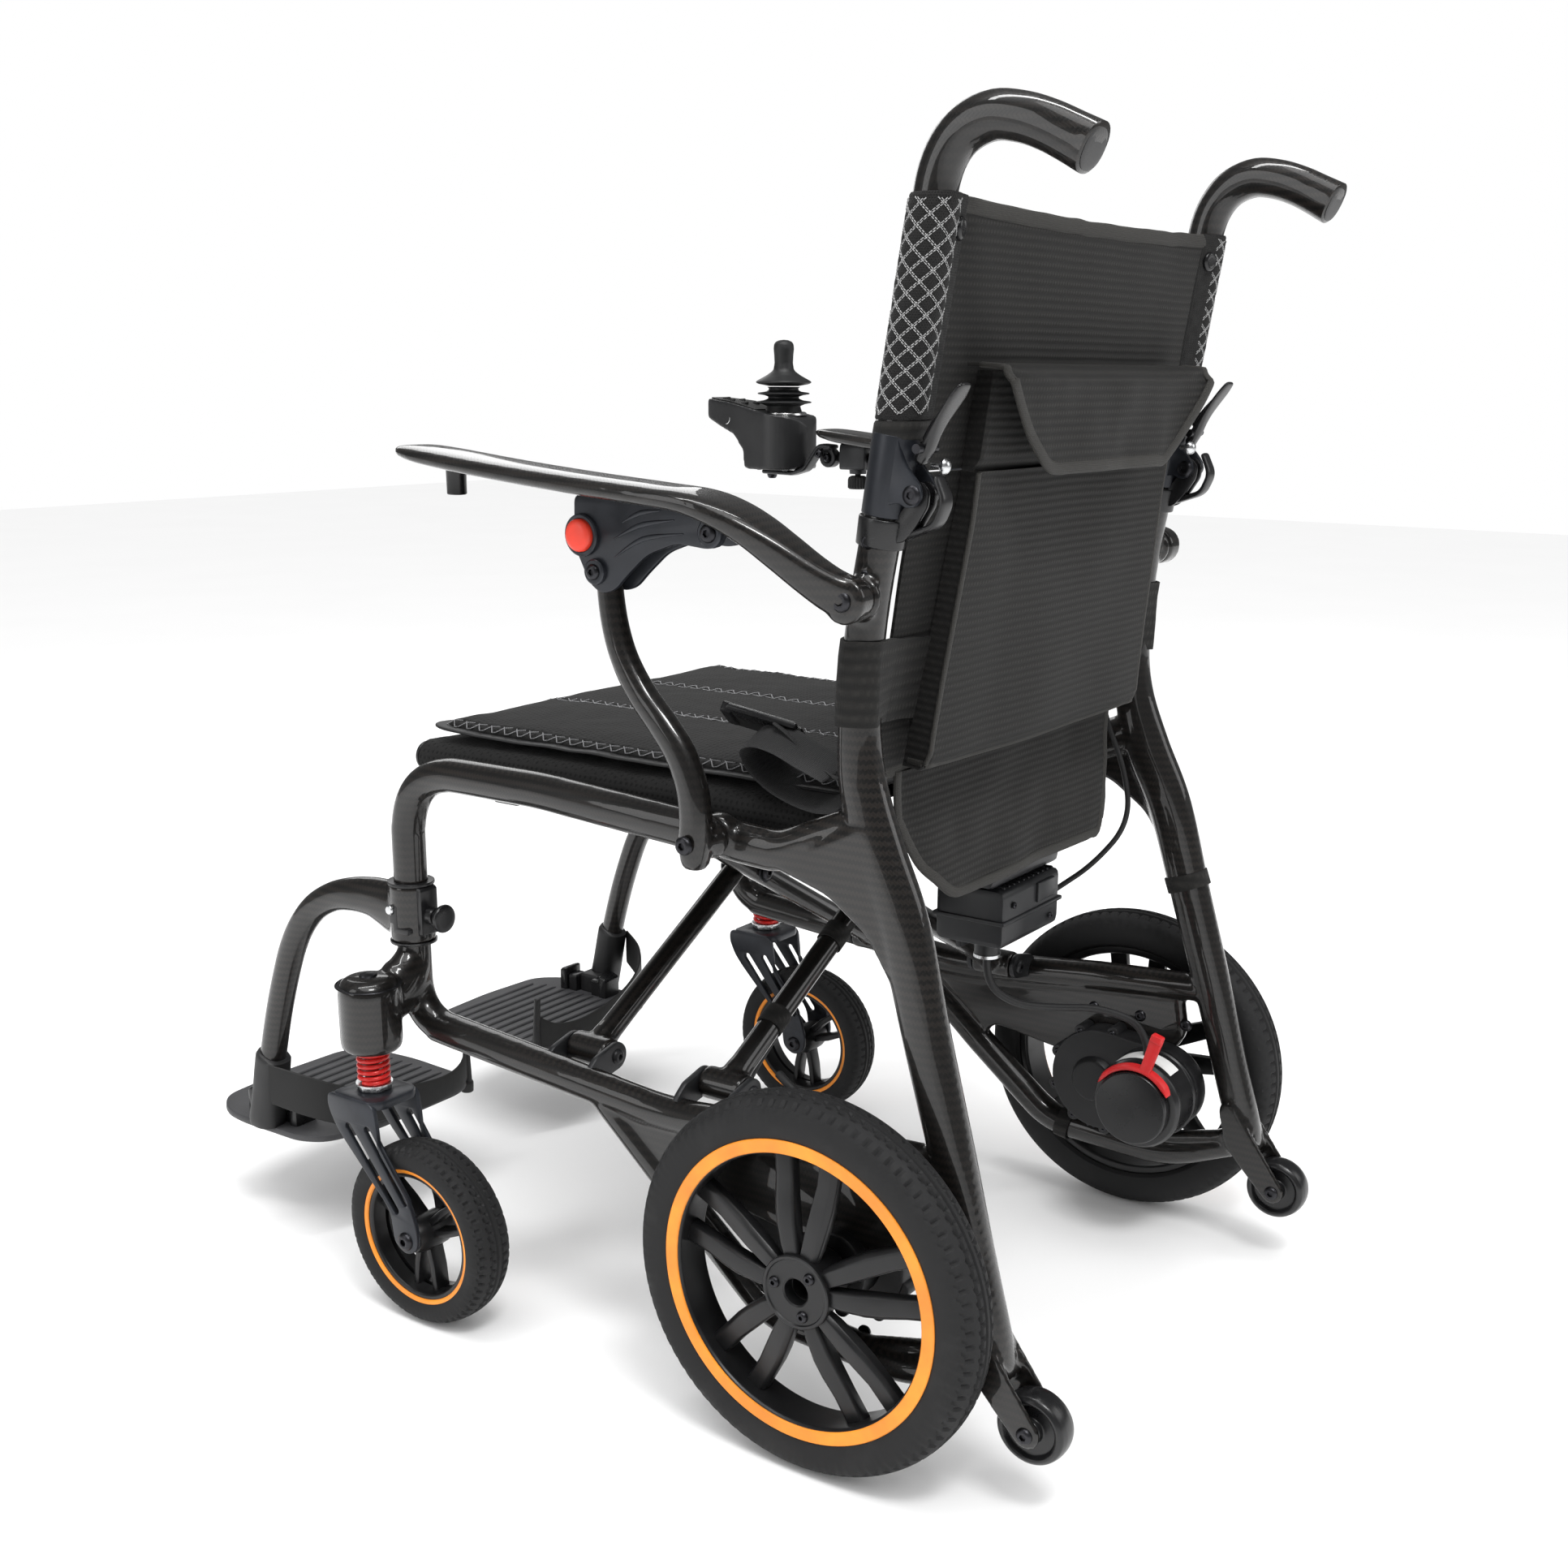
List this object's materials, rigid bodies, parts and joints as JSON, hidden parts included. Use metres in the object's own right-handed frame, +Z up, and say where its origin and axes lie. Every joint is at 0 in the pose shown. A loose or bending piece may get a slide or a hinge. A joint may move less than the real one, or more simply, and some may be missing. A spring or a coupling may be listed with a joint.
{
  "type": "folding power wheelchair",
  "caption": "Folding carbon-framed power wheelchair with hub-side motors, sprung casters, swing-away foot rests and arm-mounted joystick.",
  "frame": {"origin": "on the ground under the middle of the chair's box", "axes": "+X to the chair's left, -Y to its front, +Z up"},
  "size_m": [0.638, 0.946, 0.9705],
  "materials": {
    "carbon": "clear coated twill carbon fibre",
    "black_metal": "satin black powder coat",
    "blue_black_metal": "satin dark blue-grey coat",
    "black_plastic": "fine grained",
    "gloss_black": "semi-gloss",
    "red_plastic": "satin",
    "red_spring": "gloss enamel",
    "zinc": "zinc plated",
    "tyre": "solid rubber",
    "rim_metal": "satin black",
    "rim_plastic": "satin",
    "foot_plastic": "ribbed",
    "motor_black": "satin black cast",
    "seat_cloth": "dimpled knit",
    "back_cloth": "ribbed weave",
    "boot_rubber": "matt",
    "cable": "semi-matt jacket"
  },
  "bodies": {
    "left_side": {"left_side_frame": "carbon", "left_back_hinge": "black_metal", "left_drive_motor": "motor_black", "left_motor_cable": "cable", "back_sling_lower": "back_cloth", "back_pocket": "back_cloth"},
    "right_side": {"right_side_frame": "carbon", "right_back_hinge": "black_metal", "right_drive_motor": "motor_black", "battery": "black_plastic", "control_box": "black_plastic", "harness_cables": "cable"},
    "left_scissor": {"left_cross_brace": "carbon", "cross_bolts": "zinc", "brace_cable": "cable", "seat_sling": "seat_cloth", "seat_cushion": "seat_cloth"},
    "right_scissor": {"right_cross_brace": "carbon"},
    "left_back": {"left_back_tube": "carbon", "back_sling_upper": "back_cloth"},
    "left_release_lever": {"left_back_lever": "black_plastic"},
    "left_arm": {"left_armrest": "carbon", "left_armrest_bracket": "black_metal"},
    "left_arm_button": {"left_armrest_button": "red_plastic"},
    "left_arm_strut": {"left_armrest_post": "carbon"},
    "left_king_pin": {"left_caster_stem": "zinc", "left_caster_spring": "red_spring"},
    "left_fork": {"left_caster_fork": "blue_black_metal"},
    "left_caster_wheel": {"left_caster_tyre": "tyre", "left_caster_rim": "rim_plastic"},
    "left_hanger": {"left_foot_hanger": "carbon"},
    "left_hanger_pull": {"left_hanger_knob": "black_plastic"},
    "left_foot": {"left_footplate": "foot_plastic"},
    "left_freewheel_lever": {"left_brake_lever": "red_plastic"},
    "left_drive_wheel": {"left_drive_tyre": "tyre", "left_drive_rim": "rim_metal"},
    "left_tail_wheel": {"left_antitip_wheel": "rim_plastic"},
    "right_back": {"right_back_tube": "carbon"},
    "right_release_lever": {"right_back_lever": "black_plastic"},
    "right_arm": {"right_armrest": "carbon", "right_armrest_bracket": "black_metal"},
    "right_arm_button": {"right_armrest_button": "red_plastic"},
    "right_arm_strut": {"right_armrest_post": "carbon"},
    "right_king_pin": {"right_caster_stem": "zinc", "right_caster_spring": "red_spring"},
    "right_fork": {"right_caster_fork": "blue_black_metal"},
    "right_caster_wheel": {"right_caster_tyre": "tyre", "right_caster_rim": "rim_plastic"},
    "right_hanger": {"right_foot_hanger": "carbon"},
    "right_hanger_pull": {"right_hanger_knob": "black_plastic"},
    "right_foot": {"right_footplate": "foot_plastic"},
    "right_freewheel_lever": {"right_brake_lever": "red_plastic"},
    "right_drive_wheel": {"right_drive_tyre": "tyre", "right_drive_rim": "rim_metal"},
    "right_tail_wheel": {"right_antitip_wheel": "rim_plastic"},
    "joystick_mount": {"joystick_arm": "black_metal", "joystick_housing": "gloss_black"},
    "joystick_boot_body": {"joystick_boot": "boot_rubber"},
    "joystick_grip": {"joystick_stick": "boot_rubber"},
    "clamp_screw": {"thumb_screw": "black_plastic"}
  },
  "joints": [
    {"name": "frame_fold", "type": "hinge", "parent": "left_side", "child": "left_scissor", "pos_m": [0.205, 0.083, 0.248], "axis": [0, 1, 0], "range_deg": [0, 38], "deforming": ["seat_sling", "seat_cushion", "back_sling_lower", "back_sling_upper", "back_pocket"]},
    {"name": "scissor_centre", "type": "hinge", "parent": "left_scissor", "child": "right_scissor", "pos_m": [0, 0.083, 0.36407], "axis": [0, 1, 0], "range_deg": [-76, 0]},
    {"name": "right_side_pivot", "type": "hinge", "parent": "right_scissor", "child": "right_side", "pos_m": [-0.205, 0.083, 0.248], "axis": [0, 1, 0], "range_deg": [0, 38]},
    {"name": "left_back_fold", "type": "hinge", "parent": "left_side", "child": "left_back", "pos_m": [0.226, 0.323, 0.722], "axis": [-1, 0, 0], "range_deg": [0, 95]},
    {"name": "left_lever_pull", "type": "hinge", "parent": "left_back", "child": "left_release_lever", "pos_m": [0.226, 0.325, 0.752], "axis": [-1, 0, 0], "range_deg": [0, 20], "stiffness_Nm_per_rad": 1, "springref_deg": -17.19},
    {"name": "left_arm_lift", "type": "hinge", "parent": "left_side", "child": "left_arm", "pos_m": [0.256, 0.286, 0.652], "axis": [-1, 0, 0], "range_deg": [0, 95]},
    {"name": "left_button_press", "type": "slide", "parent": "left_arm", "child": "left_arm_button", "axis": [-1, 0, 0], "range_m": [0, 0.004], "stiffness_N_per_m": 800, "springref_m": -0.002},
    {"name": "left_strut_swing", "type": "hinge", "parent": "left_side", "child": "left_arm_strut", "pos_m": [0.268, 0.165, 0.468], "axis": [1, 0, 0], "range_deg": [0, 75]},
    {"name": "left_caster_suspension", "type": "slide", "parent": "left_side", "child": "left_king_pin", "axis": [0, 0, 1], "range_m": [0, 0.012], "stiffness_N_per_m": 9000, "springref_m": -0.012, "deforming": ["left_caster_spring"]},
    {"name": "left_caster_swivel", "type": "hinge", "parent": "left_king_pin", "child": "left_fork", "pos_m": [0.292, -0.174, 0.194], "axis": [0, 0, 1], "continuous": true},
    {"name": "left_caster_spin", "type": "hinge", "parent": "left_fork", "child": "left_caster_wheel", "pos_m": [0.292, -0.116, 0.082], "axis": [1, 0, 0], "continuous": true},
    {"name": "left_hanger_swing", "type": "hinge", "parent": "left_side", "child": "left_hanger", "pos_m": [0.239, -0.172, 0.366], "axis": [0, 0, 1], "range_deg": [0, 90]},
    {"name": "left_hanger_release", "type": "slide", "parent": "left_hanger", "child": "left_hanger_pull", "axis": [0, 1, 0], "range_m": [0, 0.006], "stiffness_N_per_m": 700, "springref_m": -0.004},
    {"name": "left_footplate_flip", "type": "hinge", "parent": "left_hanger", "child": "left_foot", "pos_m": [0.226, -0.381, 0.112], "axis": [0, 1, 0], "range_deg": [0, 90]},
    {"name": "left_freewheel", "type": "hinge", "parent": "left_side", "child": "left_freewheel_lever", "pos_m": [0.161, 0.222, 0.152], "axis": [-1, 0, 0], "range_deg": [0, 50]},
    {"name": "left_drive_spin", "type": "hinge", "parent": "left_side", "child": "left_drive_wheel", "pos_m": [0.285, 0.278, 0.15], "axis": [1, 0, 0], "continuous": true},
    {"name": "left_tail_spin", "type": "hinge", "parent": "left_side", "child": "left_tail_wheel", "pos_m": [0.244, 0.448, 0.071], "axis": [1, 0, 0], "continuous": true},
    {"name": "right_back_fold", "type": "hinge", "parent": "right_side", "child": "right_back", "pos_m": [-0.226, 0.323, 0.722], "axis": [-1, 0, 0], "range_deg": [0, 95]},
    {"name": "right_lever_pull", "type": "hinge", "parent": "right_back", "child": "right_release_lever", "pos_m": [-0.226, 0.325, 0.752], "axis": [-1, 0, 0], "range_deg": [0, 20], "stiffness_Nm_per_rad": 1, "springref_deg": -17.19},
    {"name": "right_arm_lift", "type": "hinge", "parent": "right_side", "child": "right_arm", "pos_m": [-0.256, 0.286, 0.652], "axis": [-1, 0, 0], "range_deg": [0, 95]},
    {"name": "right_button_press", "type": "slide", "parent": "right_arm", "child": "right_arm_button", "axis": [1, 0, 0], "range_m": [0, 0.004], "stiffness_N_per_m": 800, "springref_m": -0.002},
    {"name": "right_strut_swing", "type": "hinge", "parent": "right_side", "child": "right_arm_strut", "pos_m": [-0.268, 0.165, 0.468], "axis": [1, 0, 0], "range_deg": [0, 75]},
    {"name": "right_caster_suspension", "type": "slide", "parent": "right_side", "child": "right_king_pin", "axis": [0, 0, 1], "range_m": [0, 0.012], "stiffness_N_per_m": 9000, "springref_m": -0.012, "deforming": ["right_caster_spring"]},
    {"name": "right_caster_swivel", "type": "hinge", "parent": "right_king_pin", "child": "right_fork", "pos_m": [-0.292, -0.174, 0.194], "axis": [0, 0, 1], "continuous": true},
    {"name": "right_caster_spin", "type": "hinge", "parent": "right_fork", "child": "right_caster_wheel", "pos_m": [-0.292, -0.116, 0.082], "axis": [1, 0, 0], "continuous": true},
    {"name": "right_hanger_swing", "type": "hinge", "parent": "right_side", "child": "right_hanger", "pos_m": [-0.239, -0.172, 0.366], "axis": [0, 0, -1], "range_deg": [0, 90]},
    {"name": "right_hanger_release", "type": "slide", "parent": "right_hanger", "child": "right_hanger_pull", "axis": [0, 1, 0], "range_m": [0, 0.006], "stiffness_N_per_m": 700, "springref_m": -0.004},
    {"name": "right_footplate_flip", "type": "hinge", "parent": "right_hanger", "child": "right_foot", "pos_m": [-0.226, -0.381, 0.112], "axis": [0, -1, 0], "range_deg": [0, 90]},
    {"name": "right_freewheel", "type": "hinge", "parent": "right_side", "child": "right_freewheel_lever", "pos_m": [-0.161, 0.334, 0.152], "axis": [-1, 0, 0], "range_deg": [0, 50]},
    {"name": "right_drive_spin", "type": "hinge", "parent": "right_side", "child": "right_drive_wheel", "pos_m": [-0.285, 0.278, 0.15], "axis": [1, 0, 0], "continuous": true},
    {"name": "right_tail_spin", "type": "hinge", "parent": "right_side", "child": "right_tail_wheel", "pos_m": [-0.244, 0.448, 0.071], "axis": [1, 0, 0], "continuous": true},
    {"name": "joystick_reach", "type": "slide", "parent": "right_arm", "child": "joystick_mount", "axis": [0, -1, 0], "range_m": [0, 0.03]},
    {"name": "joystick_fore_aft", "type": "hinge", "parent": "joystick_mount", "child": "joystick_boot_body", "pos_m": [-0.285, -0.148, 0.76], "axis": [1, 0, 0], "range_deg": [-18, 18], "stiffness_Nm_per_rad": 0.3},
    {"name": "joystick_side", "type": "hinge", "parent": "joystick_boot_body", "child": "joystick_grip", "pos_m": [-0.285, -0.148, 0.76], "axis": [0, 1, 0], "range_deg": [-18, 18], "stiffness_Nm_per_rad": 0.3},
    {"name": "clamp_screw_turn", "type": "hinge", "parent": "right_arm", "child": "clamp_screw", "pos_m": [-0.285, -0.056, 0.69], "axis": [0, 0, 1], "range_deg": [0, 360]}
  ],
  "couplings": [
    {"joint": "scissor_centre", "follows": "frame_fold", "ratio": -2},
    {"joint": "right_side_pivot", "follows": "frame_fold", "ratio": 1},
    {"joint": "left_footplate_flip", "follows": "frame_fold", "ratio": 2.3684},
    {"joint": "right_footplate_flip", "follows": "frame_fold", "ratio": 2.3684},
    {"joint": "right_back_fold", "follows": "left_back_fold", "ratio": 1}
  ]
}
